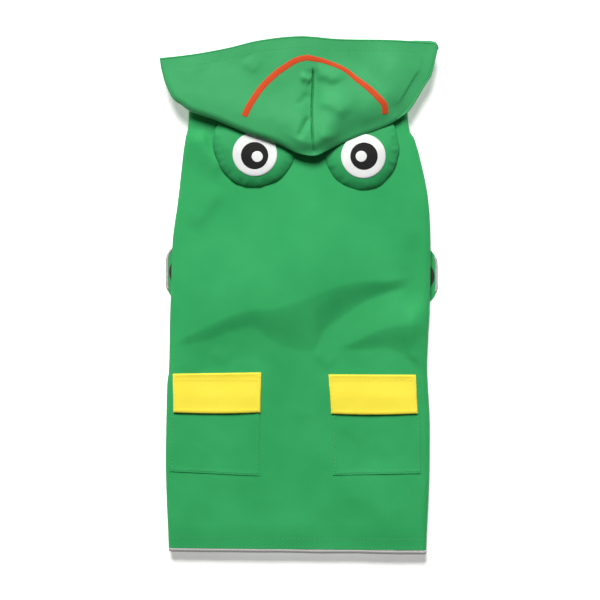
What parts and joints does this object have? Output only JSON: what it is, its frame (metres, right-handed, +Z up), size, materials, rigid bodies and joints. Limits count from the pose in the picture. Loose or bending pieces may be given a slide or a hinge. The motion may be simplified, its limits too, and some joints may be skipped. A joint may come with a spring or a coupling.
{
  "type": "hooded dog raincoat",
  "caption": "Flat-laid dog raincoat with a thrown-back animal-face hood, stuffed eyes, flapped pockets, folded-under sides, belly straps and chest flaps.",
  "frame": {"origin": "centre of the coat's footprint, on the surface that it lies on", "axes": "+X to the right of the back, +Y towards the head, +Z up; the back faces up"},
  "size_m": [0.25, 0.468, 0.0269],
  "materials": {
    "green_fabric": "coated plain weave, soft sheen",
    "yellow_fabric": "coated plain weave, soft sheen",
    "orange_fabric": "woven tape",
    "reflective_piping": "retroreflective woven tape",
    "mesh_lining": "fine knitted mesh",
    "green_loop_tape": "looped pile",
    "yellow_hook_tape": "hook tape",
    "black_hook_tape": "hook tape",
    "white_fabric": "smooth felt",
    "black_fabric": "smooth felt",
    "filling": "polyester wadding"
  },
  "bodies": {
    "back": {"back_panel": "green_fabric", "back_lining": "mesh_lining", "hem_piping": "reflective_piping", "neck_tape": "green_fabric", "left_leg_edge": "green_fabric", "right_leg_edge": "green_fabric", "left_pocket": "green_fabric", "right_pocket": "green_fabric", "left_flap_band": "yellow_fabric", "right_flap_band": "yellow_fabric", "left_pocket_loop": "green_loop_tape", "right_pocket_loop": "green_loop_tape"},
    "hood_back": {"left_hood_back": "green_fabric", "right_hood_back": "green_fabric", "left_hood_crown": "green_fabric", "right_hood_crown": "green_fabric", "hood_back_lining": "mesh_lining"},
    "hood_front": {"left_hood_front": "green_fabric", "right_hood_front": "green_fabric", "hood_front_lining": "mesh_lining", "face_edge_binding": "green_fabric", "left_mouth_stripe": "orange_fabric", "right_mouth_stripe": "orange_fabric"},
    "left_eye": {"left_eye_back": "green_fabric", "left_eye_filling": "filling", "left_eye_front": "green_fabric", "left_eye_white": "white_fabric", "left_pupil": "black_fabric", "left_glint": "white_fabric"},
    "left_flap": {"left_pocket_flap": "yellow_fabric", "left_pocket_hook": "yellow_hook_tape"},
    "left_side": {"left_side_flap": "green_fabric", "left_side_piping": "reflective_piping"},
    "left_strap": {"left_belly_strap": "green_fabric", "left_strap_binding": "reflective_piping", "left_strap_hook": "black_hook_tape"},
    "left_chest": {"left_chest_flap": "green_fabric", "left_chest_binding": "reflective_piping", "left_chest_hook": "black_hook_tape"},
    "right_eye": {"right_eye_back": "green_fabric", "right_eye_filling": "filling", "right_eye_front": "green_fabric", "right_eye_white": "white_fabric", "right_pupil": "black_fabric", "right_glint": "white_fabric"},
    "right_flap": {"right_pocket_flap": "yellow_fabric", "right_pocket_hook": "yellow_hook_tape"},
    "right_side": {"right_side_flap": "green_fabric", "right_side_piping": "reflective_piping"},
    "right_strap": {"right_belly_strap": "green_fabric", "right_strap_binding": "reflective_piping", "right_strap_hook": "black_hook_tape"},
    "right_chest": {"right_chest_flap": "green_fabric", "right_chest_binding": "reflective_piping", "right_chest_loop": "black_hook_tape"}
  },
  "joints": [
    {"name": "neck_seam", "type": "hinge", "parent": "back", "child": "hood_back", "pos_m": [0, 0.228, 0.0131], "axis": [-1, 0, 0], "range_deg": [0, 135]},
    {"name": "crown_fold", "type": "hinge", "parent": "hood_back", "child": "hood_front", "pos_m": [0.01, 0.16, 0.0254], "axis": [1, 0, 0], "range_deg": [0, 50]},
    {"name": "left_eye_seam", "type": "hinge", "parent": "hood_back", "child": "left_eye", "pos_m": [0.01, 0.128, 0.0254], "axis": [-0.9415, 0.3369, 0], "range_deg": [0, 90]},
    {"name": "right_eye_seam", "type": "hinge", "parent": "hood_back", "child": "right_eye", "pos_m": [0.01, 0.128, 0.0254], "axis": [-0.9202, -0.3914, 0], "range_deg": [0, 90]},
    {"name": "left_pocket_flap_fold", "type": "hinge", "parent": "back", "child": "left_flap", "pos_m": [-0.0745, -0.077, 0.016], "axis": [-1, 0, 0], "range_deg": [0, 170]},
    {"name": "right_pocket_flap_fold", "type": "hinge", "parent": "back", "child": "right_flap", "pos_m": [0.068, -0.077, 0.016], "axis": [-1, 0, 0], "range_deg": [0, 170]},
    {"name": "left_side_fold", "type": "hinge", "parent": "back", "child": "left_side", "pos_m": [-0.118, -0.09, 0.0074], "axis": [0, 1, 0], "range_deg": [0, 180]},
    {"name": "right_side_fold", "type": "hinge", "parent": "back", "child": "right_side", "pos_m": [0.118, -0.09, 0.0074], "axis": [0, -1, 0], "range_deg": [0, 180]},
    {"name": "left_strap_fold", "type": "hinge", "parent": "left_side", "child": "left_strap", "pos_m": [-0.063, 0.018, 0.0016], "axis": [0, -1, 0], "range_deg": [0, 180]},
    {"name": "right_strap_fold", "type": "hinge", "parent": "right_side", "child": "right_strap", "pos_m": [0.063, 0.018, 0.0016], "axis": [0, 1, 0], "range_deg": [0, 180]},
    {"name": "left_chest_fold", "type": "hinge", "parent": "back", "child": "left_chest", "pos_m": [-0.101, 0.18, 0.0074], "axis": [0, 1, 0], "range_deg": [0, 180]},
    {"name": "right_chest_fold", "type": "hinge", "parent": "back", "child": "right_chest", "pos_m": [0.101, 0.18, 0.0074], "axis": [0, -1, 0], "range_deg": [0, 180]}
  ]
}
